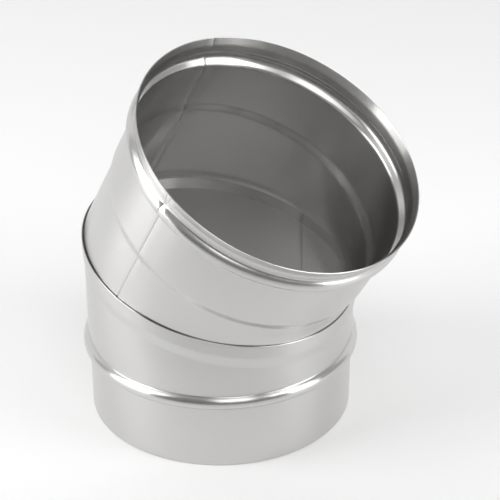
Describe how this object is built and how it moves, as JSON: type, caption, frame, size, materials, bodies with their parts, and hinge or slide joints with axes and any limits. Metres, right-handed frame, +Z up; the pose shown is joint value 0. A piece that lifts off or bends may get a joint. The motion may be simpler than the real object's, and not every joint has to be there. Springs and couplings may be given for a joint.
{
  "type": "flue pipe bend",
  "caption": "Single-wall stainless steel 30 degree flue bend with a plain spigot and stop bead below and a beaded, flared socket above, joined at a swaged mitre.",
  "frame": {"origin": "centre of the spigot's lower edge, on the lower pipe's axis", "axes": "+Z up the lower pipe; the upper pipe leans 30 degrees from +Z towards +X; +Y follows by the right-hand rule"},
  "size_m": [0.1919, 0.1612, 0.2089],
  "materials": {
    "stainless_sheet": "cold-rolled stainless sheet, finely brushed round the pipe"
  },
  "bodies": {
    "root": {"spigot_segment": "stainless_sheet", "socket_segment": "stainless_sheet"}
  },
  "joints": []
}
